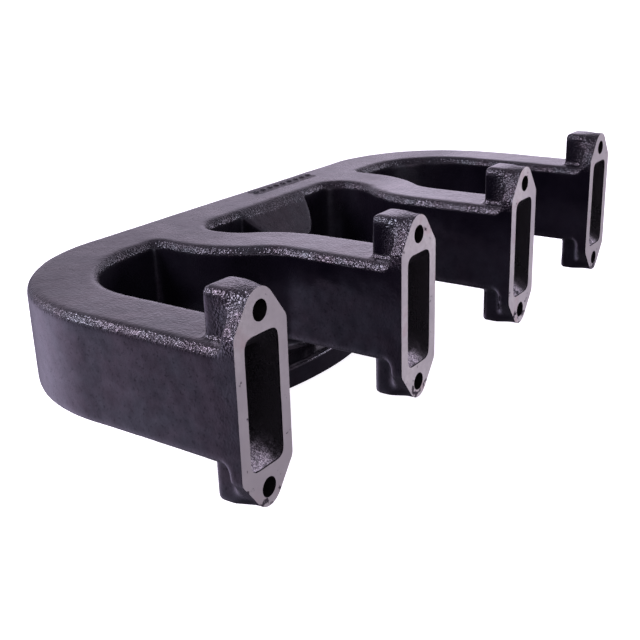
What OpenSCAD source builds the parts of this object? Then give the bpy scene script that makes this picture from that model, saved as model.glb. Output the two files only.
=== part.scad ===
// Exhaust manifold of an in-line four-cylinder engine: one iron casting, divided here into its regions.
// Four tall narrow ports feed a collector log, and the gas leaves through a round outlet below the log.
// Origin: middle of the row of ports, on the machined face that meets the cylinder head.
// +X runs along the row, -Y points into the cylinder head and +Z is up. All lengths are millimetres.

/* [Cylinder head pattern] */
// Distance between neighbouring ports
port_pitch = 130; // [124:1:140]
// Distance between the upper and the lower stud hole of a port
stud_spacing = 80; // [78:1:84]
// Diameter of the stud holes
stud_hole_d = 9.5; // [8.5:0.5:10.5]

/* [Port flanges] */
// Width of the port window, and of the gas passage all the way through
window_w = 22.5; // [20:0.5:24]
// Height of the port window above the origin
window_top = 31; // [28:0.5:32]
// Depth of the port window below the origin
window_bottom = 30.5; // [28:0.5:31]
// Radius of the window's corners
window_corner_r = 4; // [2:0.5:6]
// Thickness of the flange plate
plate_t = 7.5; // [7:0.5:12]
// Height at which the plate's flat sides end and its upper taper starts
shoulder_top = 33; // [32:0.5:35]
// Depth at which the plate's flat sides end and its lower taper starts
shoulder_bottom = 32; // [31:0.5:34]
// Radius of the plate's end around the upper stud hole
upper_end_r = 10; // [9:0.5:11]
// Radius of the plate's end around the lower stud hole
lower_end_r = 9; // [8:0.5:10]

/* [Stud bosses] */
// Width of a stud boss
boss_w = 20; // [18:0.5:22]
// Distance from the port face to the back of the upper bosses
upper_boss_back = 22; // [16:0.5:26]
// Distance from the port face to the back of the lower bosses
lower_boss_back = 21; // [16:0.5:26]
// Height of the top of the upper bosses
upper_boss_top = 49.5; // [47:0.5:52]
// Depth of the underside of the lower bosses
lower_boss_bottom = 48; // [46:0.5:50]
// Radius of the bosses' outer corners
boss_corner_r = 5; // [3:0.5:7]

/* [Ducts] */
// Outer width of every duct
duct_w = 35; // [33:0.5:37]
// Height of the top of the ducts
duct_top = 27.5; // [26:0.5:29]
// Depth of the underside of the ducts
duct_bottom = 26; // [25:0.5:28]
// Radius of the ducts' outer edges
duct_edge_r = 5; // [3:0.5:6]
// Distance from the port face to the start of the two end bends
end_bend_start = 90; // [86:1:95]
// Centreline radius of the two end bends
end_bend_r = 71; // [66:1:76]
// Distance from the port face to the start of the middle runners' S-bend
s_bend_start = 68; // [58:1:72]
// Distance from the port face to the end of the middle runners' S-bend
s_bend_end = 128; // [122:1:128]
// How far the S-bend carries a middle runner outwards
s_bend_shift = 21.5; // [15:0.5:24]
// Radius of the web in the corners of the middle opening
middle_web_r = 15; // [8:1:15]
// Radius of the web in the corners of the two side openings
side_web_r = 9; // [5:1:12]

/* [Outlet] */
// Place of the outlet's axis along the row of ports
outlet_x = 4; // [-10:1:10]
// Distance from the port face to the outlet's axis
outlet_y = 157; // [155:1:160]
// Outer diameter of the outlet neck
neck_d = 70; // [66:1:74]
// Diameter of the outlet bore
outlet_bore_d = 58; // [52:1:60]
// Depth of the outlet flange's machined underside
outlet_face = 80; // [75:1:95]
// Thickness of the outlet flange
outlet_flange_t = 14; // [10:0.5:16]
// Width of the outlet flange between the middles of opposite sides
outlet_flange_w = 106; // [104:1:110]
// Radius of the outlet flange's bowed sides
outlet_side_r = 225; // [200:5:400]
// Distance between neighbouring outlet bolt holes, the same both ways
outlet_bolt_spacing = 74; // [72:1:76]
// Diameter of the outlet bolt holes
outlet_bolt_d = 11; // [9:0.5:12]

/* [Casting mark] */
// Length of the raised pad on top of the log
mark_l = 66; // [50:1:70]
// Width of the raised pad
mark_w = 12; // [8:0.5:14]
// Height of the raised pad above the log
mark_h = 0.8; // [0.5:0.1:1.5]
// Number of plain pips on the pad
mark_pips = 9; // [5:1:11]

/* [Hidden] */
$fn = 64;
// Cutting shapes run past the faces that they open by this much
past = 1;
port_x = [for (i = [0:3]) (i - 1.5) * port_pitch];
stud_z = stud_spacing / 2;
wall = (duct_w - window_w) / 2;
duct_h = duct_top + duct_bottom;
duct_mid = (duct_top - duct_bottom) / 2;
log_y = end_bend_start + end_bend_r;
log_front = log_y - duct_w / 2;
log_half = 1.5 * port_pitch - end_bend_r;
// The S-bend is two equal arcs: angle and radius follow from its length and its shift
s_bend_l = s_bend_end - s_bend_start;
s_angle = 2 * atan(s_bend_shift / s_bend_l);
s_r = s_bend_l / (2 * sin(s_angle));
// The neck's shoulders fall at 45 degrees from just outside the log's flat top
shoulder_rise = duct_edge_r / 2;
shoulder_half = duct_w / 2 - duct_edge_r + shoulder_rise;
neck_bottom = outlet_face - outlet_flange_t;
mark_x = 45;
mark_y = log_y + 5.5;
pip_h = 0.7;
iron = [0.14, 0.13, 0.15];
machined = [0.66, 0.63, 0.66];

// ---- Outlines ----

// Rectangle with round corners, centred
module rounded_rect(w, h, r) {
    square([w - 2 * r, h], center = true);
    square([w, h - 2 * r], center = true);
    for (x = [-1, 1], y = [-1, 1])
        translate([x * (w / 2 - r), y * (h / 2 - r)]) circle(r);
}

// Section of a duct: across it in X, up in Y
module duct_outline() {
    translate([0, duct_mid]) rounded_rect(duct_w, duct_h, duct_edge_r);
}

module passage_outline() {
    translate([0, duct_mid]) rounded_rect(window_w, duct_h - 2 * wall, window_corner_r);
}

// Point where a line from (x, 0) touches a circle of radius r about (0, d), on the +X side
function touch(x, d, r) =
    let (far = norm([x, d]), turn = asin(r / far), a = atan2(d, x) + turn)
    [x - far * cos(turn) * cos(a), far * cos(turn) * sin(a)];

// Half of the plate's outline above a shoulder: tapered sides and a round end about the stud hole
module plate_end(shoulder, end_r) {
    t = touch(duct_w / 2, stud_z - shoulder, end_r);
    translate([0, shoulder]) {
        polygon([[-duct_w / 2, 0], [duct_w / 2, 0], t, [0, stud_z - shoulder], [-t[0], t[1]]]);
        translate([0, stud_z - shoulder]) circle(end_r);
    }
}

module plate_outline() {
    translate([-duct_w / 2, -shoulder_bottom]) square([duct_w, shoulder_bottom + shoulder_top]);
    plate_end(shoulder_top, upper_end_r);
    mirror([0, 1]) plate_end(shoulder_bottom, lower_end_r);
}

// ---- Ducts ----

// Straight stretch of a section along Y, from one distance to another
module along_y(from, to) {
    translate([0, to, 0]) rotate([90, 0, 0]) linear_extrude(to - from) children();
}

// Outer shape or passage of one of the sections above
module section(inner) {
    if (inner) passage_outline();
    else duct_outline();
}

// Arc of a duct about the Z axis, from one angle and over another
module duct_arc(inner, r, start, sweep) {
    rotate([0, 0, start]) rotate_extrude(angle = sweep) translate([r, 0]) section(inner);
}

// First half of the middle runner on the -X side: straight, then curving outwards
module s_runner_first(inner, from) {
    translate([-port_pitch / 2, 0, 0]) {
        along_y(from, s_bend_start) section(inner);
        translate([-s_r, s_bend_start, 0]) duct_arc(inner, s_r, 0, s_angle);
    }
}

// Second half: curving back, then straight into the log
module s_runner_second(inner, to) {
    translate([-port_pitch / 2 - s_bend_shift, 0, 0]) {
        translate([s_r, s_bend_end, 0]) duct_arc(inner, s_r, 180, s_angle);
        along_y(s_bend_end, to) section(inner);
    }
}

// Web that rounds the corner between a runner's -X side and the front of the log
module corner_web(r) {
    intersection() {
        translate([-r, -r, -duct_bottom]) cube([r + duct_w / 4, r + duct_edge_r, duct_h]);
        translate([-r, -r, 0]) duct_arc(false, r + duct_w / 2, 0, 90);
    }
}

module log_body(inner) {
    translate([-log_half, log_y, 0]) rotate([90, 0, 90]) linear_extrude(2 * log_half) section(inner);
}

// Gas passage at a port: the window flares in at 45 degrees to the height of the duct
module port_passage() {
    top_inner = duct_top - wall;
    bottom_inner = duct_bottom - wall;
    intersection() {
        along_y(-past, plate_t + duct_w)
            translate([0, (window_top - window_bottom) / 2])
                rounded_rect(window_w, window_top + window_bottom, window_corner_r);
        translate([-window_w, 0, 0]) rotate([90, 0, 90]) linear_extrude(2 * window_w) polygon([
            [-past, window_top],
            [0, window_top],
            [window_top - top_inner, top_inner],
            [window_top - top_inner, 0],
            [window_bottom - bottom_inner, 0],
            [window_bottom - bottom_inner, -bottom_inner],
            [0, -window_bottom],
            [-past, -window_bottom]
        ]);
    }
    along_y(plate_t / 2, plate_t + duct_w) passage_outline();
}

module stud_holes() {
    for (z = [-stud_z, stud_z])
        translate([0, -past, z]) rotate([-90, 0, 0]) cylinder(d = stud_hole_d, h = upper_boss_back + 2 * past);
}

// ---- Outlet ----

// The neck with its two shoulders; the passage keeps the wall inside both
module neck_body(inner) {
    drop = inner ? wall * sqrt(2) : 0;
    top = inner ? duct_top - wall : duct_top;
    half = shoulder_half - drop + (duct_top - top);
    low = inner ? -outlet_face - past : -neck_bottom;
    intersection() {
        translate([outlet_x, outlet_y, low]) cylinder(d = inner ? outlet_bore_d : neck_d, h = top - low);
        translate([outlet_x - neck_d, log_y, 0]) rotate([90, 0, 90]) linear_extrude(2 * neck_d) polygon([
            [-half, top],
            [half, top],
            [half + neck_d, top - neck_d],
            [half + neck_d, low],
            [-half - neck_d, low],
            [-half - neck_d, top - neck_d]
        ]);
    }
}

// Square with bowed sides, whose corners are round about the bolt holes
module outlet_outline() {
    hole = outlet_bolt_spacing / 2;
    bow_centre = outlet_flange_w / 2 - outlet_side_r;
    corner_r = bow_centre + sqrt(outlet_side_r * outlet_side_r - hole * hole) - hole;
    intersection() {
        union() {
            square([2 * hole, 2 * outlet_flange_w], center = true);
            square([2 * outlet_flange_w, 2 * hole], center = true);
            for (x = [-1, 1], y = [-1, 1]) translate([x * hole, y * hole]) circle(corner_r);
        }
        translate([bow_centre, 0]) circle(outlet_side_r, $fn = 256);
        translate([-bow_centre, 0]) circle(outlet_side_r, $fn = 256);
        translate([0, bow_centre]) circle(outlet_side_r, $fn = 256);
        translate([0, -bow_centre]) circle(outlet_side_r, $fn = 256);
    }
}

// ---- Regions of the casting ----

module port_flange(i) {
    color(machined) translate([port_x[i - 1], 0, 0]) difference() {
        along_y(0, plate_t) plate_outline();
        port_passage();
        stud_holes();
    }
}

// Block between two heights behind the plate, with the two corners away from the duct rounded
module boss_block(back, reach, rest) {
    along_y(plate_t, back) intersection() {
        translate([0, reach - duct_w]) rounded_rect(boss_w, 2 * duct_w, boss_corner_r);
        translate([-boss_w, rest]) square([2 * boss_w, reach]);
    }
}

module upper_boss(i) {
    color(iron) translate([port_x[i - 1], 0, 0]) difference() {
        boss_block(upper_boss_back, upper_boss_top, duct_top);
        stud_holes();
    }
}

module lower_boss(i) {
    color(iron) translate([port_x[i - 1], 0, 0]) difference() {
        mirror([0, 0, 1]) boss_block(lower_boss_back, lower_boss_bottom, duct_bottom);
        stud_holes();
    }
}

module outer_runner(i) {
    color(iron) translate([port_x[i - 1], 0, 0]) difference() {
        along_y(plate_t, end_bend_start) duct_outline();
        along_y(plate_t - past, end_bend_start + past) passage_outline();
        port_passage();
    }
}

// The shapes below are made on the -X side; a side of 1 mirrors them to +X
module on_side(side) {
    mirror([side > 0 ? 1 : 0, 0, 0]) children();
}

module middle_runner(side) {
    color(iron) on_side(side) difference() {
        s_runner_first(false, plate_t);
        s_runner_first(true, plate_t - past);
        translate([-port_pitch / 2, 0, 0]) port_passage();
    }
}

// Second half of a middle runner, with the webs that round its corners against the log
module runner_root(side) {
    root_x = -port_pitch / 2 - s_bend_shift;
    color(iron) on_side(side) difference() {
        union() {
            s_runner_second(false, log_front + duct_edge_r);
            translate([root_x + duct_w / 2, log_front, 0]) mirror([1, 0, 0]) corner_web(middle_web_r);
            translate([root_x - duct_w / 2, log_front, 0]) corner_web(side_web_r);
        }
        s_runner_second(true, log_y);
        log_body(false);
    }
}

module end_bend(side) {
    color(iron) on_side(side) translate([-log_half, end_bend_start, 0]) difference() {
        duct_arc(false, end_bend_r, 90, 90);
        duct_arc(true, end_bend_r, 90, 90);
    }
}

module collector_log() {
    color(iron) difference() {
        log_body(false);
        log_body(true);
        neck_body(true);
        for (side = [-1, 1])
            translate([side * (port_pitch / 2 + s_bend_shift), 0, 0])
                along_y(log_front - past, log_y) passage_outline();
    }
}

module outlet_neck() {
    color(iron) difference() {
        neck_body(false);
        neck_body(true);
        log_body(false);
    }
}

module outlet_flange() {
    hole = outlet_bolt_spacing / 2;
    color(machined) translate([outlet_x, outlet_y, -outlet_face]) difference() {
        linear_extrude(outlet_flange_t) outlet_outline();
        translate([0, 0, -past]) cylinder(d = outlet_bore_d, h = outlet_flange_t + 2 * past);
        for (x = [-hole, hole], y = [-hole, hole])
            translate([x, y, -past]) cylinder(d = outlet_bolt_d, h = outlet_flange_t + 2 * past);
    }
}

module casting_mark() {
    pip_step = mark_l / mark_pips;
    color(iron) translate([mark_x, mark_y, duct_top]) {
        linear_extrude(mark_h) rounded_rect(mark_l, mark_w, mark_w / 4);
        for (n = [0:mark_pips - 1])
            translate([(n - (mark_pips - 1) / 2) * pip_step, 0, 0])
                cylinder(d = pip_step / 2, h = mark_h + pip_h);
    }
}

port_flange(1);  // port_flange_1
port_flange(2);  // port_flange_2
port_flange(3);  // port_flange_3
port_flange(4);  // port_flange_4
upper_boss(1);  // upper_boss_1
upper_boss(2);  // upper_boss_2
upper_boss(3);  // upper_boss_3
upper_boss(4);  // upper_boss_4
lower_boss(1);  // lower_boss_1
lower_boss(2);  // lower_boss_2
lower_boss(3);  // lower_boss_3
lower_boss(4);  // lower_boss_4
outer_runner(1);  // runner_1
middle_runner(-1);  // runner_2
middle_runner(1);  // runner_3
outer_runner(4);  // runner_4
runner_root(-1);  // runner_root_2
runner_root(1);  // runner_root_3
end_bend(-1);  // end_bend_left
end_bend(1);  // end_bend_right
collector_log();
outlet_neck();
outlet_flange();
casting_mark();
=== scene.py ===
import math

import bpy
import numpy as np
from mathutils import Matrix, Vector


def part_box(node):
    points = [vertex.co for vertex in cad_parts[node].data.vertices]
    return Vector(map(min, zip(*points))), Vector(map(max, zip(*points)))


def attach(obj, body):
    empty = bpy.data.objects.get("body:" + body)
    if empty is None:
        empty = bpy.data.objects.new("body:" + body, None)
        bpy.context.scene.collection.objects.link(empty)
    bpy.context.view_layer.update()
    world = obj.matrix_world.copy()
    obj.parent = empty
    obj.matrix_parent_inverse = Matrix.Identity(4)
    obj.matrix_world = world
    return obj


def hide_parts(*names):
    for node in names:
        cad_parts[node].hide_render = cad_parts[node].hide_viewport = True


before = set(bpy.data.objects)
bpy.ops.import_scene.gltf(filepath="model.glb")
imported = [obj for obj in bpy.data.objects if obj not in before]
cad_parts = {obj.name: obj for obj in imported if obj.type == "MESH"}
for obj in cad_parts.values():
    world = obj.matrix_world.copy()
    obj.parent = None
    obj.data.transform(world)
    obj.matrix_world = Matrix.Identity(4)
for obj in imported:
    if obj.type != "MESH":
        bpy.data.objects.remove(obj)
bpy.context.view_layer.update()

import openvdb
from mathutils import Matrix, Vector

MM = 1000.0


def node_box(name):
    """Lowest and highest corner of a CAD node, in millimetres."""
    low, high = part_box(name)
    return np.array(low) * MM, np.array(high) * MM


# ---------------------------------------------------------------- sizes, mm
PORTS = (1, 2, 3, 4)
PORT_X = [float(np.mean([b[0] for b in node_box(f"port_flange_{i}")])) for i in PORTS]
PORT_SPACING = PORT_X[1] - PORT_X[0]
FLANGE = node_box("port_flange_1")
DUCT = node_box("runner_1")
UPPER_BOSS = node_box("upper_boss_1")
LOWER_BOSS = node_box("lower_boss_1")
LOG = node_box("collector_log")
NECK = node_box("outlet_neck")
OUTLET = node_box("outlet_flange")
MARK = node_box("casting_mark")

PLATE_T = FLANGE[1][1]
UPPER_END_Z, LOWER_END_Z = FLANGE[1][2], FLANGE[0][2]
STUD_Z = 40.0
STUD_R = 4.75
UPPER_END_R = UPPER_END_Z - STUD_Z
LOWER_END_R = -LOWER_END_Z - STUD_Z
SHOULDER_TOP, SHOULDER_BOTTOM = 33.0, 32.0
DUCT_W = DUCT[1][0] - DUCT[0][0]
DUCT_TOP, DUCT_BOTTOM = LOG[1][2], LOG[0][2]
DUCT_EDGE_R = 5.0
WINDOW_W = 22.5
WINDOW_TOP, WINDOW_BOTTOM = 31.0, -30.5
WINDOW_R = 4.0
WALL = (DUCT_W - WINDOW_W) / 2
BOSS_HALF = 10.0
UPPER_CORNER_R, LOWER_CORNER_R = 3.5, 2.0
BOSS_BACK_R = 1.2
BEND_START = DUCT[1][1]
LOG_HALF = LOG[1][0]
LOG_Y = LOG[1][1] - DUCT_W / 2
LOG_FRONT = LOG_Y - DUCT_W / 2
BEND_R = LOG_Y - BEND_START
S_START, S_END, S_SHIFT = 68.0, 128.0, 21.5
S_ANGLE = 2 * math.atan(S_SHIFT / (S_END - S_START))
S_R = (S_END - S_START) / (2 * math.sin(S_ANGLE))
MIDDLE_WEB_R, SIDE_WEB_R = 15.0, 4.0
ROOT_X = [PORT_X[1] - S_SHIFT, PORT_X[2] + S_SHIFT]
OUTLET_X, OUTLET_Y = float(NECK[0][0] + NECK[1][0]) / 2, 157.0
NECK_R = (NECK[1][0] - NECK[0][0]) / 2
BORE_R = 29.0
OUTLET_FACE, OUTLET_TOP = OUTLET[0][2], OUTLET[1][2]
OUTLET_HALF = 53.0
OUTLET_SIDE_R = 225.0
BOLT_HALF, BOLT_R = 37.0, 5.5
ROOF_SUM = DUCT_TOP + DUCT_W / 2 - DUCT_EDGE_R / 2
# Heights between which the sloping shoulders turn as grainy as the ducts' top edges, m
NECK_FADE = ((DUCT_TOP - 6.5) / MM, (DUCT_TOP - 4) / MM)

# How the casting is softened, and how thick the bare machined skins are
EDGE_BLUR, MOUTH_BLUR = 0.9, 1.6
FILLET, FOOT_FILLET = 3.5, 1.0
SKIN = 0.6
SEAM = 0.5
PITCH = 1.2


# ---------------------------------------------------------------- distance fields
def axis(low, high):
    return np.arange(low, high + PITCH / 2, PITCH, dtype=np.float32)


AX = axis(-218, 218)
AY = axis(-6, 216)
AZ = axis(-86, 56)
ORIGIN = np.array([AX[0], AY[0], AZ[0]])


def round_min(a, b, r):
    """Union with a round fillet of radius r."""
    return np.maximum(r, np.minimum(a, b)) - np.hypot(np.maximum(r - a, 0), np.maximum(r - b, 0))


def round_max(a, b, r):
    """Intersection with a round edge of radius r."""
    return np.minimum(-r, np.maximum(a, b)) + np.hypot(np.maximum(r + a, 0), np.maximum(r + b, 0))


def round_slab(plan, z, low, high, r):
    """Plan shape between two heights, with edges of radius r."""
    half = (high - low) / 2
    return round_max(plan, np.abs(z - (high + low) / 2) - half, r)


def to_segment(x, y, a, b):
    """Distance in plan to a straight centreline."""
    (ax, ay), (bx, by) = a, b
    length2 = (bx - ax) ** 2 + (by - ay) ** 2
    t = np.clip(((x - ax) * (bx - ax) + (y - ay) * (by - ay)) / length2, 0, 1)
    return np.hypot(x - ax - t * (bx - ax), y - ay - t * (by - ay))


def to_arc(x, y, centre, r, start, sweep):
    """Distance in plan to an arc of the centreline; angles in radians."""
    cx, cy = centre
    angle = np.mod(np.arctan2(y - cy, x - cx) - start, 2 * math.pi)
    on_arc = np.abs(np.hypot(x - cx, y - cy) - r)
    ends = [
        np.hypot(x - cx - r * math.cos(a), y - cy - r * math.sin(a))
        for a in (start, start + sweep)
    ]
    return np.where(angle <= sweep, on_arc, np.minimum(*ends))


def outer_paths(x, y):
    """Distance in plan to the outer runners, the end bends and the log."""
    d = to_segment(x, y, (-LOG_HALF, LOG_Y), (LOG_HALF, LOG_Y))
    for side, port in ((-1, PORT_X[0]), (1, PORT_X[3])):
        start = math.pi / 2 if side < 0 else 0
        d = np.minimum(d, to_segment(x, y, (port, -30), (port, BEND_START)))
        d = np.minimum(d, to_arc(x, y, (side * LOG_HALF, BEND_START), BEND_R, start, math.pi / 2))
    return d


def middle_paths(x, y):
    """Distance in plan to the two middle runners, which stop short of the log's back edge."""
    d = None
    for side in (-1, 1):
        u = x * side
        port, root = PORT_X[2], ROOT_X[1]
        parts = (
            to_segment(u, y, (port, -30), (port, S_START)),
            to_arc(u, y, (port + S_R, S_START), S_R, math.pi - S_ANGLE, S_ANGLE),
            to_arc(u, y, (root - S_R, S_END), S_R, 2 * math.pi - S_ANGLE, S_ANGLE),
            to_segment(u, y, (root, S_END), (root, LOG_FRONT)),
        )
        for part in parts:
            d = part if d is None else np.minimum(d, part)
    return d


def box_profile(x, z, half, low, high, r):
    """Rectangle with round corners in a plane across the duct."""
    return round_max(np.abs(x) - half, np.abs(z - (high + low) / 2) - (high - low) / 2, r)


def tapered_end(x, z, centre, r, shoulder):
    """Plate beyond a shoulder: tapered sides that touch a round end. z grows outwards."""
    half = DUCT_W / 2
    drop = centre - shoulder
    far = math.hypot(half, drop)
    lean = math.atan2(drop, half) + math.asin(r / far)
    # The taper runs from the shoulder's corner to where it touches the round end
    nx, nz = math.sin(lean), math.cos(lean)
    u, w = np.abs(x), z - centre
    sides = np.maximum(u - half, u * nx + w * nz - r)
    in_round = u * nz - w * nx < 0
    return np.where(in_round & (w > -r), np.hypot(u, w) - r, sides)


def plate_profile(x, z):
    top = tapered_end(x, z, STUD_Z, UPPER_END_R, SHOULDER_TOP)
    bottom = tapered_end(x, -z, STUD_Z, LOWER_END_R, SHOULDER_BOTTOM)
    return np.maximum(top, bottom)


def boss(x, y, z, reach, back, corner_r):
    """Stud boss behind the plate, squarer at the back than at the plate. z grows outwards."""
    corner = np.clip(BOSS_HALF - (BOSS_HALF - corner_r) * y / 12, corner_r, BOSS_HALF)
    profile = round_max(np.abs(x) - BOSS_HALF, z - reach, corner)
    return np.maximum(round_max(profile, y - back, BOSS_BACK_R), -z)


def port_end(x, y, z):
    """Straight end of a duct with its plate and its two bosses, about x = 0."""
    duct = box_profile(x, z, DUCT_W / 2, DUCT_BOTTOM, DUCT_TOP, DUCT_EDGE_R) + 0 * y
    upper = boss(x, y, z, UPPER_BOSS[1][2], UPPER_BOSS[1][1], UPPER_CORNER_R)
    lower = boss(x, y, -z, -LOWER_BOSS[0][2], LOWER_BOSS[1][1], LOWER_CORNER_R)
    body = round_min(round_min(duct, upper, FOOT_FILLET), lower, FOOT_FILLET)
    outline = plate_profile(x, z) + 0 * y
    plate = np.maximum(round_min(y - PLATE_T, body, FILLET), outline)
    return np.minimum(plate, body)


def roof(y, z, ridge):
    """The two planes that slope at 45 degrees from the log's top edges."""
    return (z + np.abs(y - LOG_Y) - ridge) / math.sqrt(2)


def outlet_profile(x, y):
    """Bowed square, round about its four bolt holes."""
    u, v = np.abs(x - OUTLET_X), np.abs(y - OUTLET_Y)
    bow = OUTLET_HALF - OUTLET_SIDE_R
    corner_r = bow + math.sqrt(OUTLET_SIDE_R**2 - BOLT_HALF**2) - BOLT_HALF
    corner = np.hypot(u - BOLT_HALF, v - BOLT_HALF) - corner_r
    core = np.where((u > BOLT_HALF) & (v > BOLT_HALF), corner, np.minimum(u, v) - BOLT_HALF)
    bowed = np.maximum(np.hypot(u - bow, v), np.hypot(u, v - bow)) - OUTLET_SIDE_R
    return np.maximum(core, bowed)


def outside_shape(x, y, z):
    """Everything but the gas passages and the holes."""
    outer = outer_paths(x, y) - DUCT_W / 2
    middle = middle_paths(x, y) - DUCT_W / 2
    web = np.where(np.abs(x) < ROOT_X[1], MIDDLE_WEB_R, SIDE_WEB_R)
    ducts = round_slab(round_min(outer, middle, web), z, DUCT_BOTTOM, DUCT_TOP, DUCT_EDGE_R)
    column = np.hypot(x - OUTLET_X, y - OUTLET_Y) - NECK_R
    neck = np.maximum(column, roof(y, z, ROOF_SUM))
    neck = np.maximum(neck, z - (DUCT_TOP - FILLET))
    shape = round_min(ducts, neck, 2.0)
    flange = round_slab(outlet_profile(x, y), z, 2 * OUTLET_FACE, OUTLET_TOP, 2.5)
    return round_min(shape, flange, FILLET)


def passages(x, y, z):
    """The gas passages, positive outside them."""
    half = WINDOW_W / 2
    plan = round_min(outer_paths(x, y) - half, middle_paths(x, y) - half, WALL)
    ducts = round_slab(plan, z, DUCT_BOTTOM + WALL, DUCT_TOP - WALL, WINDOW_R)
    bore = np.maximum(np.hypot(x - OUTLET_X, y - OUTLET_Y) - BORE_R, z - (DUCT_TOP - WALL))
    bore = np.maximum(bore, roof(y, z, ROOF_SUM - WALL * math.sqrt(2)))
    return round_min(ducts, bore, 3.0)


def window(x, y, z):
    """The port's window, which narrows at 45 degrees to the height of the passage."""
    profile = box_profile(x, z, WINDOW_W / 2, WINDOW_BOTTOM, WINDOW_TOP, WINDOW_R)
    taper = np.maximum(z + y - WINDOW_TOP, WINDOW_BOTTOM - z + y) / math.sqrt(2)
    return np.maximum(profile + 0 * y, taper)


def blurred(field, sigma):
    """Gaussian blur along the three axes."""
    s = sigma / PITCH
    reach = max(1, int(math.ceil(3 * s)))
    weights = np.exp(-0.5 * (np.arange(-reach, reach + 1) / s) ** 2)
    weights = (weights / weights.sum()).astype(np.float32)
    for ax in range(3):
        padded = np.pad(field, [(reach, reach) if i == ax else (0, 0) for i in range(3)], "edge")
        total = np.zeros_like(field)
        for k, w in enumerate(weights):
            total += w * np.take(padded, range(k, k + field.shape[ax]), axis=ax)
        field = total
    return field


def unevenness(shape, seed):
    """Waviness of a sand mould's surface, in millimetres."""
    rng = np.random.default_rng(seed)
    total = np.zeros(shape, np.float32)
    for sigma, height in ((1.4, 0.012), (4.0, 0.03), (12.0, 0.07)):
        step = max(1, int(sigma / PITCH / 1.4))
        small = [n // step + 3 for n in shape]
        noise = blurred(rng.standard_normal(small, dtype=np.float32), PITCH * 1.4)
        noise *= height / noise.std()
        for ax in range(3):
            at = np.arange(shape[ax]) / step
            low = at.astype(int)
            part = (at - low).astype(np.float32).reshape([-1 if i == ax else 1 for i in range(3)])
            noise = np.take(noise, low, ax) * (1 - part) + np.take(noise, low + 1, ax) * part
        total += noise
    return total


def casting_field():
    """Distance field of the whole casting, and that of its passages."""
    x, y, z = np.meshgrid(AX, AY, AZ, indexing="ij", sparse=True)
    solid = outside_shape(x, y, z).astype(np.float32)
    gas = passages(x, y, z).astype(np.float32)
    reach_x, reach_y = 26, 44
    rows = slice(0, int((reach_y - AY[0]) / PITCH))
    for port in PORT_X:
        first = int(round((port - reach_x - AX[0]) / PITCH))
        first = max(first, 0)
        last = min(first + int(2 * reach_x / PITCH) + 1, len(AX))
        cols = slice(first, last)
        lx, ly = x[cols] - port, y[:, rows]
        solid[cols, rows] = np.minimum(solid[cols, rows], port_end(lx, ly, z))
        gas[cols, rows] = np.minimum(gas[cols, rows], window(lx, ly, z))
    solid = blurred(np.clip(solid, -8, 8), EDGE_BLUR)
    wavy = unevenness(solid.shape, 7)
    solid += wavy
    gas = blurred(np.clip(gas, -8, 8), MOUTH_BLUR) + wavy
    field = np.maximum(solid, -gas)
    for port in PORT_X:
        for height in (-STUD_Z, STUD_Z):
            hole = np.maximum(np.hypot(x - port, z - height) - STUD_R, y - 30)
            field = np.maximum(field, -hole)
    for sx in (-BOLT_HALF, BOLT_HALF):
        for sy in (-BOLT_HALF, BOLT_HALF):
            hole = np.hypot(x - OUTLET_X - sx, y - OUTLET_Y - sy) - BOLT_R
            field = np.maximum(field, -np.maximum(hole, z - OUTLET_TOP - 4))
    return field.astype(np.float32), gas


def sampled(field, points):
    """Field at points in millimetres, linear between grid points."""
    at = (points - ORIGIN) / PITCH
    at = np.clip(at, 0, np.array(field.shape) - 1.001)
    low = at.astype(int)
    part = at - low
    total = 0
    for dx in (0, 1):
        for dy in (0, 1):
            for dz in (0, 1):
                weight = np.abs(1 - dx - part[:, 0]) * np.abs(1 - dy - part[:, 1])
                weight = weight * np.abs(1 - dz - part[:, 2])
                total = total + weight * field[low[:, 0] + dx, low[:, 1] + dy, low[:, 2] + dz]
    return total


def slope(field, points):
    """Unit normals of the surface at points in millimetres."""
    reach = 0.8 * PITCH
    parts = []
    for ax in range(3):
        step = np.zeros(3)
        step[ax] = reach
        parts.append(sampled(field, points + step) - sampled(field, points - step))
    n = np.stack(parts, 1)
    return n / np.maximum(np.linalg.norm(n, axis=1, keepdims=True), 1e-9)


# ---------------------------------------------------------------- pieces
def new_mesh(name, points, faces):
    mesh = bpy.data.meshes.new(name)
    mesh.from_pydata([tuple(p) for p in points], [], [tuple(f) for f in faces])
    mesh.update()
    return mesh


def mesh_from_arrays(name, points, quads):
    """Quad mesh from numpy arrays; points in metres."""
    mesh = bpy.data.meshes.new(name)
    mesh.vertices.add(len(points))
    mesh.vertices.foreach_set("co", points.astype(np.float32).ravel())
    mesh.loops.add(quads.size)
    mesh.loops.foreach_set("vertex_index", quads.astype(np.int32).ravel())
    mesh.polygons.add(len(quads))
    mesh.polygons.foreach_set("loop_start", np.arange(0, quads.size, 4, dtype=np.int32))
    mesh.update(calc_edges=True)
    mesh.validate()
    return mesh


def prism(name, outline, low, high):
    """Upright solid over a plan outline given anticlockwise, in millimetres."""
    n = len(outline)
    points = [(px / MM, py / MM, pz / MM) for pz in (low, high) for px, py in outline]
    faces = [tuple(reversed(range(n))), tuple(range(n, 2 * n))]
    faces += [(i, (i + 1) % n, n + (i + 1) % n, n + i) for i in range(n)]
    return new_mesh(name, points, faces)


def rect(x0, x1, y0, y1):
    return [(x0, y0), (x1, y0), (x1, y1), (x0, y1)]


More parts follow.
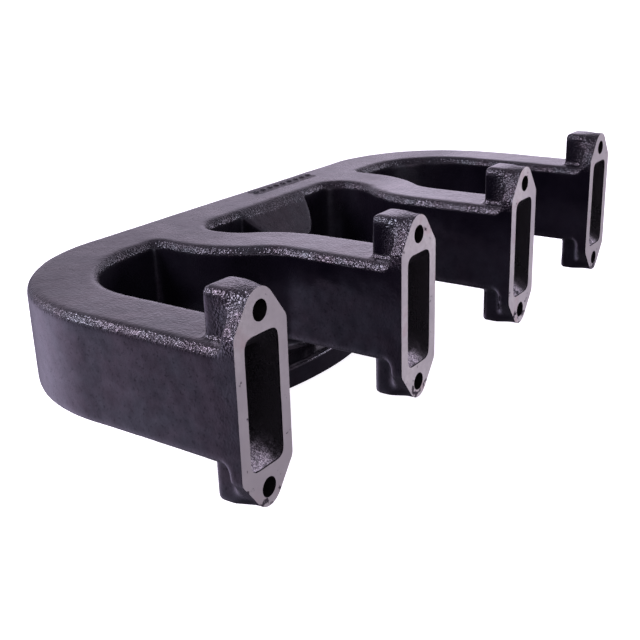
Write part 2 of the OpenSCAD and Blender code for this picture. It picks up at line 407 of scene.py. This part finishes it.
def boolean(mesh, cutter, operation):
    """Result of a boolean on two closed meshes."""
    a = bpy.data.objects.new("a", mesh)
    b = bpy.data.objects.new("b", cutter)
    for o in (a, b):
        bpy.context.scene.collection.objects.link(o)
    mod = a.modifiers.new("cut", "BOOLEAN")
    mod.solver = "MANIFOLD"
    mod.operation = operation
    mod.object = b
    bpy.context.view_layer.update()
    made = bpy.data.meshes.new_from_object(a.evaluated_get(bpy.context.evaluated_depsgraph_get()))
    bpy.data.objects.remove(a)
    bpy.data.objects.remove(b)
    return made


def surface(name, field, corner, pitch):
    """Mesh of a distance field on a grid that starts at a corner, in millimetres."""
    grid = openvdb.FloatGrid(3.0)
    grid.copyFromArray(np.ascontiguousarray(np.clip(field / pitch, -3, 3), dtype=np.float32))
    points, quads = grid.convertToQuads(0.0)
    return mesh_from_arrays(name, (points * pitch + corner) / MM, np.array(quads))


def meshed_part(field, low, high):
    """Mesh of the field inside a box in millimetres, with a margin past it."""
    margin = 4
    first = np.maximum(((np.array(low) - ORIGIN) / PITCH).astype(int) - margin, 0)
    last = ((np.array(high) - ORIGIN) / PITCH).astype(int) + margin + 2
    part = field[tuple(slice(a, b) for a, b in zip(first, last))]
    return surface("part", part, first * PITCH + ORIGIN, PITCH)


def set_normals(mesh, field):
    """Normals from the field, so that regions join unseen; flat normals on cut faces."""
    n_loops = len(mesh.loops)
    co = np.zeros(len(mesh.vertices) * 3, np.float32)
    mesh.vertices.foreach_get("co", co)
    at_vertex = slope(field, co.reshape(-1, 3) * MM)
    corner = np.zeros(n_loops, np.int32)
    mesh.loops.foreach_get("vertex_index", corner)
    flat = np.zeros(len(mesh.polygons) * 3, np.float32)
    mesh.polygons.foreach_get("normal", flat)
    sizes = np.zeros(len(mesh.polygons), np.int32)
    mesh.polygons.foreach_get("loop_total", sizes)
    owner = np.repeat(np.arange(len(mesh.polygons)), sizes)
    face_normal = flat.reshape(-1, 3)[owner]
    normals = at_vertex[corner]
    crisp = (normals * face_normal).sum(1) < 0.75
    normals[crisp] = face_normal[crisp]
    mesh.polygons.foreach_set("use_smooth", np.ones(len(mesh.polygons), bool))
    mesh.normals_split_custom_set(normals.tolist())


def face_array(mesh, field):
    values = np.zeros(len(mesh.polygons) * 3, np.float32)
    mesh.polygons.foreach_get(field, values)
    return values.reshape(-1, 3)


def in_hole(points):
    """True on the walls of the stud and bolt holes."""
    x, y, z = points.T
    studs = [np.hypot(x - port, np.abs(z) - STUD_Z) for port in PORT_X]
    at_stud = (np.min(studs, axis=0) < STUD_R + 0.3) & (y < 32)
    to_bolt = np.hypot(np.abs(x - OUTLET_X) - BOLT_HALF, np.abs(y - OUTLET_Y) - BOLT_HALF)
    return at_stud | ((to_bolt < BOLT_R + 0.3) & (z < OUTLET_TOP + 3))


def add_piece(name, mesh, nodes):
    obj = bpy.data.objects.new(name, mesh)
    bpy.context.scene.collection.objects.link(obj)
    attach(obj, "root")
    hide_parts(*nodes)


def region(name, nodes, materials, cutter, low, high, bare=None):
    """One region of the casting: the field's mesh cut with a closed cutter.

    The second material goes to the walls of the passages, or to every face of a
    milled skin that doesn't look in its bare direction. The third goes to drilled holes."""
    mesh = boolean(meshed_part(FIELD, low, high), cutter, "INTERSECT")
    mesh.name = name
    mesh.materials.clear()
    for m in materials:
        mesh.materials.append(m)
    centres = face_array(mesh, "center") * MM
    if bare is None:
        second = sampled(GAS, centres) < 0.35
    else:
        second = face_array(mesh, "normal") @ np.array(bare) < 0.7
    index = np.where(in_hole(centres) & (bare is None or second), 2, second)
    mesh.polygons.foreach_set("material_index", index.astype(np.int32))
    set_normals(mesh, FIELD)
    add_piece(name, mesh, nodes)


def box_region(name, nodes, materials, low, high, bare=None):
    cutter = prism("cutter", rect(low[0], high[0], low[1], high[1]), low[2], high[2])
    region(name, nodes, materials, cutter, low, high, bare)


# ---------------------------------------------------------------- materials
def material(name):
    """New material: itself, its nodes and links, its shader and its coordinates in metres."""
    mat = bpy.data.materials.new(name)
    mat.use_nodes = True
    nodes, links = mat.node_tree.nodes, mat.node_tree.links
    nodes.clear()
    out = nodes.new("ShaderNodeOutputMaterial")
    shader = nodes.new("ShaderNodeBsdfPrincipled")
    links.new(shader.outputs["BSDF"], out.inputs["Surface"])
    coords = nodes.new("ShaderNodeTexCoord")
    return mat, nodes, links, shader, coords.outputs["Object"]


def noise(nodes, links, at, scale, detail=3.0, roughness=0.55):
    n = nodes.new("ShaderNodeTexNoise")
    n.inputs["Scale"].default_value = scale
    n.inputs["Detail"].default_value = detail
    n.inputs["Roughness"].default_value = roughness
    links.new(at, n.inputs["Vector"])
    return n.outputs["Fac"]


def levels(nodes, links, value, low, high, to_low=0.0, to_high=1.0):
    """Straight remap of a value, clamped."""
    n = nodes.new("ShaderNodeMapRange")
    n.inputs["From Min"].default_value = low
    n.inputs["From Max"].default_value = high
    n.inputs["To Min"].default_value = to_low
    n.inputs["To Max"].default_value = to_high
    links.new(value, n.inputs["Value"])
    return n.outputs["Result"]


def mixed(nodes, links, factor, a, b):
    """Blend of two colours, each a tuple or a socket."""
    n = nodes.new("ShaderNodeMix")
    n.data_type = "RGBA"
    links.new(factor, n.inputs["Factor"])
    for socket, value in ((n.inputs[6], a), (n.inputs[7], b)):
        if isinstance(value, tuple):
            socket.default_value = (*value, 1.0)
        else:
            links.new(value, socket)
    return n.outputs[2]


def bump(nodes, links, height, strength, distance, before=None):
    n = nodes.new("ShaderNodeBump")
    n.inputs["Strength"].default_value = strength
    n.inputs["Distance"].default_value = distance
    links.new(height, n.inputs["Height"])
    if before is not None:
        links.new(before, n.inputs["Normal"])
    return n.outputs["Normal"]


def parts_of(nodes, links, vector):
    split = nodes.new("ShaderNodeSeparateXYZ")
    links.new(vector, split.inputs["Vector"])
    return split.outputs["X"], split.outputs["Y"], split.outputs["Z"]


def math_node(nodes, links, operation, a, b=None):
    """Math node; each input is a number or a socket."""
    n = nodes.new("ShaderNodeMath")
    n.operation = operation
    for socket, value in zip(n.inputs, (a, b)):
        if isinstance(value, (int, float)):
            socket.default_value = value
        elif value is not None:
            links.new(value, socket)
    return n.outputs["Value"]


def cast_paint(name, dullness, least_grain):
    """Gloss black paint over the sand grain of the casting."""
    mat, nodes, links, shader, at = material(name)
    grain = noise(nodes, links, at, 820.0, 1.0, 0.5)
    lumps = noise(nodes, links, at, 260.0, 2.0, 0.5)
    patches = noise(nodes, links, at, 28.0, 4.0, 0.6)
    pits = noise(nodes, links, at, 700.0, 1.0, 0.5)
    along_x, along_y, along_z = parts_of(nodes, links, at)
    # The paint fills the grain on flats and sides, and leaves it on the edges and the upper ears
    facing = parts_of(nodes, links, nodes.new("ShaderNodeNewGeometry").outputs["Normal"])[2]
    facing = math_node(nodes, links, "ABSOLUTE", facing)
    rising = levels(nodes, links, facing, 0.12, 0.40, 0.10, 1.0)
    falling = levels(nodes, links, facing, 0.80, 0.97, 1.0, least_grain)
    on_edge = math_node(nodes, links, "MINIMUM", rising, falling)
    to_neck = levels(nodes, links, along_z, NECK_FADE[0], NECK_FADE[1], 0.15, 1.0)
    on_edge = math_node(nodes, links, "MULTIPLY", on_edge, to_neck)
    above_duct = levels(nodes, links, along_z, 0.024, 0.030, 0.05, 0.9)
    on_port = levels(nodes, links, along_y, 0.010, 0.018, 1.0, 0.0)
    on_port = math_node(nodes, links, "MULTIPLY", on_port, above_duct)
    strength = math_node(nodes, links, "MAXIMUM", on_edge, on_port)
    relief = bump(nodes, links, grain, 1.0, 0.0009, bump(nodes, links, lumps, 0.03, 0.0006))
    links.new(strength, relief.node.inputs["Strength"])
    links.new(relief, shader.inputs["Normal"])
    tone = levels(nodes, links, patches, 0.35, 0.7)
    colour = mixed(nodes, links, tone, (0.0022, 0.0018, 0.0034), (0.0050, 0.0040, 0.0066))
    links.new(colour, shader.inputs["Base Color"])
    # Thin and thick paint take a slightly warmer and a slightly cooler sheen
    blotches = noise(nodes, links, at, 55.0, 5.0, 0.65)
    sheen = mixed(nodes, links, levels(nodes, links, blotches, 0.38, 0.62),
                  (1.0, 0.86, 0.93), (0.90, 0.97, 1.0))
    links.new(sheen, shader.inputs["Specular Tint"])
    # It lies duller on the log, the bends and the far right, and cloudy all over
    gloss = levels(nodes, links, along_y, 0.092, 0.140, 1.0, 0.57)
    to_right = levels(nodes, links, along_x, 0.090, 0.170, 1.0, 0.72)
    gloss = math_node(nodes, links, "MULTIPLY", gloss, to_right)
    clouds = levels(nodes, links, noise(nodes, links, at, 170.0, 4.0, 0.65), 0.35, 0.65, 0.78, 1.22)
    gloss = math_node(nodes, links, "MULTIPLY", gloss, clouds)
    shine = levels(nodes, links, pits, 0.60, 0.74, 0.5, 0.26)
    links.new(math_node(nodes, links, "MULTIPLY", shine, gloss), shader.inputs["Specular IOR Level"])
    dull = levels(nodes, links, along_y, 0.092, 0.120, 0.0, 0.12)
    rough = levels(nodes, links, patches, 0.3, 0.7, dullness, dullness + 0.08)
    links.new(math_node(nodes, links, "ADD", rough, dull), shader.inputs["Roughness"])
    shader.inputs["IOR"].default_value = 1.52
    return mat


def hole_wall():
    """Drilled walls of the stud and bolt holes, coloured nearly black."""
    mat, nodes, links, shader, at = material("hole_wall")
    grain = noise(nodes, links, at, 700.0, 2.0, 0.6)
    colour = mixed(nodes, links, grain, (0.001, 0.001, 0.001), (0.006, 0.005, 0.005))
    links.new(colour, shader.inputs["Base Color"])
    links.new(levels(nodes, links, grain, 0.3, 0.7, 0.55, 0.75), shader.inputs["Roughness"])
    links.new(bump(nodes, links, grain, 0.3, 0.0003), shader.inputs["Normal"])
    shader.inputs["Specular IOR Level"].default_value = 0.15
    return mat


def duct_inside():
    """Coarse sand-cast skin inside the passages, with dark overspray, and dust near each mouth painted
    as lit, with painted glints.
    """
    mat, nodes, links, shader, at = material("duct_inside")
    grain = noise(nodes, links, at, 1300.0, 3.0, 0.7)
    patches = noise(nodes, links, at, 45.0, 4.0, 0.6)
    links.new(bump(nodes, links, grain, 1.0, 0.0016), shader.inputs["Normal"])
    tone = levels(nodes, links, patches, 0.35, 0.7)
    colour = mixed(nodes, links, tone, (0.006, 0.005, 0.006), (0.018, 0.015, 0.017))
    # Dust and loose sand lie on whatever faces upwards, and are painted bright where light falls on
    # them: a painted pool of light
    facing = parts_of(nodes, links, nodes.new("ShaderNodeNewGeometry").outputs["Normal"])[2]
    along_x, along_y = parts_of(nodes, links, at)[:2]
    # Painted shade deeper in: the painted light fades between 4 and 11 mm behind the mouth
    lit_near_mouth = levels(nodes, links, along_y, 0.004, 0.011, 1.0, 0.04)
    # The painted light lies in the left half of each port, where light passes the right wall; the right
    # half is painted shade. The remainder is half a spacing at a port's middle
    spacing = PORT_SPACING / MM
    across = math_node(nodes, links, "ADD", along_x, 2 * spacing)
    across = math_node(nodes, links, "MODULO", across, spacing)
    lit_left_half = levels(nodes, links, across, spacing / 2 + 0.001, spacing / 2 + 0.007, 1.0, 0.08)
    lit_near_mouth = math_node(nodes, links, "MULTIPLY", lit_near_mouth, lit_left_half)
    dust_and_light = levels(nodes, links, facing, 0.25, 0.70)
    dust_and_light = math_node(nodes, links, "MULTIPLY", dust_and_light, lit_near_mouth)
    clumps = levels(nodes, links, noise(nodes, links, at, 200.0, 3.0, 0.6), 0.36, 0.52)
    dust_and_light = math_node(nodes, links, "MULTIPLY", dust_and_light, clumps)
    # The near-white grains of the sand are painted glints
    sand_and_glints = mixed(nodes, links, levels(nodes, links, grain, 0.42, 0.60),
                 (0.16, 0.14, 0.16), (1.0, 0.94, 0.97))
    colour = mixed(nodes, links, dust_and_light, colour, sand_and_glints)
    links.new(colour, shader.inputs["Base Color"])
    links.new(levels(nodes, links, patches, 0.3, 0.7, 0.22, 0.36), shader.inputs["Roughness"])
    return mat


def machined():
    """Bare milled iron: graphite mottling, stains, worn and dirty patches, small specks."""
    mat, nodes, links, shader, at = material("machined_iron")
    mottle = noise(nodes, links, at, 330.0, 5.0, 0.7)
    patches = noise(nodes, links, at, 60.0, 4.0, 0.6)
    spots = noise(nodes, links, at, 180.0, 3.0, 0.6)
    tone = levels(nodes, links, mottle, 0.25, 0.75)
    colour = mixed(nodes, links, tone, (0.60, 0.58, 0.52), (0.84, 0.82, 0.75))
    stain = levels(nodes, links, patches, 0.55, 0.70, 0.0, 0.7)
    colour = mixed(nodes, links, stain, colour, (0.60, 0.40, 0.37))
    wear = levels(nodes, links, noise(nodes, links, at, 22.0, 3.0, 0.6), 0.35, 0.65)
    colour = mixed(nodes, links, wear, colour, (0.55, 0.53, 0.50))
    # The two outer port faces are coloured darker than the middle ones
    along_x, along_y, along_z = parts_of(nodes, links, at)
    outer = levels(nodes, links, math_node(nodes, links, "ABSOLUTE", along_x), 0.10, 0.16, 0.0, 0.50)
    colour = mixed(nodes, links, outer, colour, (0.34, 0.32, 0.30))
    # Specks of paint and dirt, most of them at the ends of the port faces
    ends = levels(nodes, links, math_node(nodes, links, "ABSOLUTE", along_z), 0.030, 0.046, 0.0, 0.10)
    at_ports = levels(nodes, links, along_y, 0.02, 0.06, 1.0, 0.0)
    more_below = levels(nodes, links, along_z, -0.01, 0.01, 1.5, 0.3)
    for factor in (at_ports, more_below):
        ends = math_node(nodes, links, "MULTIPLY", ends, factor)
    speck = levels(nodes, links, math_node(nodes, links, "ADD", spots, ends), 0.66, 0.71)
    colour = mixed(nodes, links, speck, colour, (0.05, 0.04, 0.045))
    links.new(colour, shader.inputs["Base Color"])
    links.new(bump(nodes, links, mottle, 0.25, 0.0002), shader.inputs["Normal"])
    links.new(levels(nodes, links, mottle, 0.25, 0.75, 0.42, 0.60), shader.inputs["Roughness"])
    shader.inputs["Metallic"].default_value = 0.3
    return mat


def floor_paper():
    """Pale paper that lights itself, so that it comes out evenly white."""
    mat, _, _, shader, _ = material("floor_paper")
    shader.inputs["Base Color"].default_value = (0.9, 0.9, 0.9, 1.0)
    shader.inputs["Roughness"].default_value = 0.9
    shader.inputs["Emission Color"].default_value = (1.0, 1.0, 1.0, 1.0)
    shader.inputs["Emission Strength"].default_value = 0.75
    return mat


# ---------------------------------------------------------------- the casting
FIELD, GAS = casting_field()
PAINT, INSIDE, BARE, HOLE = cast_paint("cast_paint", 0.12, 0.22), duct_inside(), machined(), hole_wall()
HIGH_SEAM, LOW_SEAM = DUCT_TOP + SEAM, DUCT_BOTTOM - SEAM
BACK_OF_PLATE = PLATE_T + SEAM
SIDE_REACH = DUCT_W / 2 + 3
LOG_SEAM_FRONT, LOG_SEAM_BACK = LOG_FRONT - SEAM, LOG[1][1] + SEAM
# Limits of the cutters past the ears and the end bends
EAR_LOW, EAR_HIGH, EAR_BACK = -52, 54, 40
BEND_SIDE, BEND_BACK, BEND_LOW, BEND_HIGH = 216, 182, -30, 32
PAINTED, MILLED = [PAINT, INSIDE, HOLE], [BARE, PAINT, HOLE]

for number, port in zip(PORTS, PORT_X):
    x0, x1 = port - SIDE_REACH, port + SIDE_REACH
    flange, upper, lower = f"port_flange_{number}", f"upper_boss_{number}", f"lower_boss_{number}"
    box_region(f"port_face_{number}", [flange], MILLED,
               (x0, 0, EAR_LOW), (x1, SKIN, EAR_HIGH), (0, -1, 0))
    box_region(f"port_flange_{number}_body", [flange], PAINTED,
               (x0, SKIN, EAR_LOW), (x1, BACK_OF_PLATE, EAR_HIGH))
    box_region(f"{upper}_body", [upper], PAINTED,
               (x0, BACK_OF_PLATE, HIGH_SEAM), (x1, EAR_BACK, EAR_HIGH))
    box_region(f"{lower}_body", [lower], PAINTED,
               (x0, BACK_OF_PLATE, EAR_LOW), (x1, EAR_BACK, LOW_SEAM))

for side, number, end in ((-1, 1, "left"), (1, 4, "right")):
    port = side * PORT_X[3]
    x0, x1 = port - SIDE_REACH, port + SIDE_REACH
    box_region(f"runner_{number}_body", [f"runner_{number}"], PAINTED,
               (x0, BACK_OF_PLATE, LOW_SEAM), (x1, BEND_START, HIGH_SEAM))
    a, b = sorted((side * LOG_HALF, side * BEND_SIDE))
    box_region(f"end_bend_{end}_body", [f"end_bend_{end}"], PAINTED,
               (a, BEND_START, BEND_LOW), (b, BEND_BACK, BEND_HIGH))

NECK_REACH, FLANGE_REACH = NECK_R + 8, OUTLET_HALF + 3
neck_x0, neck_x1 = OUTLET_X - NECK_REACH, OUTLET_X + NECK_REACH
neck_y0, neck_y1 = OUTLET_Y - NECK_REACH, OUTLET_Y + NECK_REACH


def neck_cutter(low, high):
    return prism("cutter", rect(neck_x0, neck_x1, neck_y0, neck_y1), low, high)


# The middle runners part from their roots across the S-bend, halfway along it
MID_X, MID_Y = PORT_X[2] + S_SHIFT / 2, (S_START + S_END) / 2
REACH = 42
for side, number in ((-1, 2), (1, 3)):
    lift = REACH * math.tan(S_ANGLE)
    near, far = (MID_X - REACH, MID_Y + lift), (MID_X + REACH, MID_Y - lift)
    front = [(MID_X - REACH, BACK_OF_PLATE), (MID_X + REACH, BACK_OF_PLATE), far, near]
    back = [near, far, (MID_X + REACH, LOG_SEAM_FRONT), (MID_X - REACH, LOG_SEAM_FRONT)]
    for piece, outline in ((f"runner_{number}", front), (f"runner_root_{number}", back)):
        if side < 0:
            outline = [(-px, py) for px, py in reversed(outline)]
        xs = [p[0] for p in outline]
        low = (min(xs), min(p[1] for p in outline), LOW_SEAM)
        high = (max(xs), max(p[1] for p in outline), HIGH_SEAM)
        cutter = prism("cutter", outline, LOW_SEAM, HIGH_SEAM)
        if piece.startswith("runner_root"):
            cutter = boolean(cutter, neck_cutter(LOW_SEAM - 5, HIGH_SEAM + 5), "DIFFERENCE")
        region(f"{piece}_body", [piece], PAINTED, cutter, low, high)

box_region("collector_log_body", ["collector_log"], PAINTED,
           (-LOG_HALF, LOG_SEAM_FRONT, LOW_SEAM), (LOG_HALF, LOG_SEAM_BACK, HIGH_SEAM))

NECK_SEAM = OUTLET_TOP + SEAM
log_part = prism("cutter", rect(-90, 90, LOG_SEAM_FRONT, LOG_SEAM_BACK), LOW_SEAM, HIGH_SEAM + 5)
region("outlet_neck_body", ["outlet_neck"], PAINTED,
       boolean(neck_cutter(NECK_SEAM, HIGH_SEAM), log_part, "DIFFERENCE"),
       (neck_x0, neck_y0, NECK_SEAM), (neck_x1, neck_y1, HIGH_SEAM))

flange_x0, flange_x1 = OUTLET_X - FLANGE_REACH, OUTLET_X + FLANGE_REACH
flange_y0, flange_y1 = OUTLET_Y - FLANGE_REACH, OUTLET_Y + FLANGE_REACH
box_region("outlet_flange_body", ["outlet_flange"], PAINTED,
           (flange_x0, flange_y0, OUTLET_FACE + SKIN), (flange_x1, flange_y1, NECK_SEAM))
box_region("outlet_face", ["outlet_flange"], MILLED,
           (flange_x0, flange_y0, OUTLET_FACE), (flange_x1, flange_y1, OUTLET_FACE + SKIN), (0, 0, -1))


def casting_mark():
    """Low soft pad with a row of plain pips, rough from the mould, on a finer grid of its own."""
    pitch, pips = 0.4, 9
    low, high = MARK
    middle, half = (low + high) / 2, (high - low) / 2
    corner = np.array([low[0] - 2, low[1] - 2, DUCT_TOP - 2.5])
    counts = ((np.array([high[0] + 2, high[1] + 2, DUCT_TOP + 3]) - corner) / pitch).astype(int)
    x, y, z = np.meshgrid(*[corner[i] + pitch * np.arange(counts[i]) for i in range(3)],
                          indexing="ij", sparse=True)
    plan = round_max(np.abs(x - middle[0]) - half[0], np.abs(y - middle[1]) - half[1], 3.0)
    field = round_slab(plan + 0 * z, z, DUCT_TOP - 1.4, DUCT_TOP + 0.15, 0.3)
    step = 2 * half[0] / pips
    for n in range(pips):
        to_pip = np.hypot(x - low[0] - (n + 0.5) * step, y - middle[1])
        pip = round_slab(to_pip - step / 4, z, DUCT_TOP - 1.4, DUCT_TOP + 1.0, 0.5)
        field = round_min(field, pip, 0.6)
    rng = np.random.default_rng(11)
    field = field + 0.25 * blurred(rng.standard_normal(field.shape, dtype=np.float32), 1.2 * PITCH)
    mesh = surface("casting_mark_body", field, corner, pitch)
    mesh.materials.append(cast_paint("rough_paint", 0.26, 0.7))
    mesh.polygons.foreach_set("use_smooth", np.ones(len(mesh.polygons), bool))
    add_piece("casting_mark_body", mesh, ["casting_mark"])


casting_mark()


# ---------------------------------------------------------------- camera, light, floor
AZIMUTH, ELEVATION, ROLL = math.radians(-54.92), math.radians(20.102), math.radians(-1.863)
LENS, CAMERA_AT = 55.99, (-0.4879, -0.2349, 0.1721)
forward = Vector((-math.sin(AZIMUTH) * math.cos(ELEVATION),
                  math.cos(AZIMUTH) * math.cos(ELEVATION),
                  -math.sin(ELEVATION)))
turn = forward.to_track_quat("-Z", "Y") @ Matrix.Rotation(ROLL, 4, "Z").to_quaternion()
camera = bpy.data.objects.new("camera", bpy.data.cameras.new("camera"))
bpy.context.scene.collection.objects.link(camera)
camera.data.sensor_width = 36.0
camera.data.lens = LENS
camera.data.clip_start = 0.01
camera.location = CAMERA_AT
camera.rotation_mode = "QUATERNION"
camera.rotation_quaternion = turn
bpy.context.scene.camera = camera


# Brightness of the surroundings, and the cool pink cast of the studio light, bluer from below
BAND_RIGHT, BAND_LEFT, OVERHEAD = 1.54, 0.85, 0.55
GLOW, BELOW = 1.5, 0.12
TINT, TINT_BELOW = (1.0, 0.88, 1.12), (1.0, 0.88, 1.24)
# Colour of the light panels, and the point that they face
PANEL_TINT, LIT_POINT = (0.95, 0.88, 1.10), (0.0, 0.1, 0.0)


def panel(name, direction, distance, size, power):
    """Soft light panel that faces the part from a direction."""
    data = bpy.data.lights.new(name, "AREA")
    data.shape = "RECTANGLE"
    data.size, data.size_y = size
    data.energy = power
    data.color = PANEL_TINT
    light = bpy.data.objects.new(name, data)
    bpy.context.scene.collection.objects.link(light)
    towards = Vector(direction).normalized()
    light.location = Vector(LIT_POINT) + towards * distance
    light.rotation_mode = "QUATERNION"
    light.rotation_quaternion = (-towards).to_track_quat("-Z", "Y")


for row in (
    ("left_softbox", (-0.66, 0.54, 0.52), 1.4, (0.75, 0.50), 17.0),
    ("upper_softbox", (-0.52, 0.44, 0.73), 1.4, (0.30, 0.30), 6.0),
    ("right_softbox", (0.82, -0.48, 0.27), 1.4, (0.50, 0.36), 8.0),
    ("front_softbox", (-0.1, -1.0, 0.05), 1.6, (1.0, 0.5), 3.4),
):
    panel(*row)


def studio():
    """Surroundings: a bright band at the horizon, dull overhead, floor glow behind on the left."""
    world = bpy.data.worlds.new("studio")
    bpy.context.scene.world = world
    world.use_nodes = True
    nodes, links = world.node_tree.nodes, world.node_tree.links
    background = nodes["Background"]
    direction = nodes.new("ShaderNodeTexCoord").outputs["Generated"]

    def along(axis):
        n = nodes.new("ShaderNodeVectorMath")
        n.operation = "DOT_PRODUCT"
        n.inputs[1].default_value = Vector(axis).normalized()
        links.new(direction, n.inputs[0])
        return n.outputs["Value"]

    height, leftwards = along((0, 0, 1)), along((-0.5, 0.87, 0))
    above_horizon = levels(nodes, links, height, -0.06, 0.06)
    links.new(mixed(nodes, links, above_horizon, TINT_BELOW, TINT), background.inputs["Color"])
    band = levels(nodes, links, leftwards, 0.0, 0.37, BAND_RIGHT, BAND_LEFT)
    front = levels(nodes, links, leftwards, -0.4, 0.02, 0.5, 1.0)
    upwards = levels(nodes, links, height, 0.20, 0.75)
    above = nodes.new("ShaderNodeMix")
    links.new(upwards, above.inputs["Factor"])
    links.new(math_node(nodes, links, "MULTIPLY", band, front), above.inputs["A"])
    above.inputs["B"].default_value = OVERHEAD
    glow = levels(nodes, links, along((-0.24, 0.91, -0.34)), 0.60, 1.0)
    glow = math_node(nodes, links, "POWER", glow, 2)
    glow = math_node(nodes, links, "MULTIPLY", glow, GLOW)
    below = math_node(nodes, links, "MAXIMUM", glow, BELOW)
    pick = nodes.new("ShaderNodeMix")
    links.new(above_horizon, pick.inputs["Factor"])
    links.new(below, pick.inputs["A"])
    links.new(above.outputs["Result"], pick.inputs["B"])
    links.new(pick.outputs["Result"], background.inputs["Strength"])


studio()

floor_mesh = new_mesh("floor", [(-30, -30, 0), (30, -30, 0), (30, 30, 0), (-30, 30, 0)], [(0, 1, 2, 3)])
floor_mesh.materials.append(floor_paper())
floor = bpy.data.objects.new("floor", floor_mesh)
floor.location = (0, 0, OUTLET_FACE / MM - 0.0003)
bpy.context.scene.collection.objects.link(floor)
floor.visible_glossy = False
floor.visible_diffuse = False

bpy.context.scene.view_settings.view_transform = "Standard"
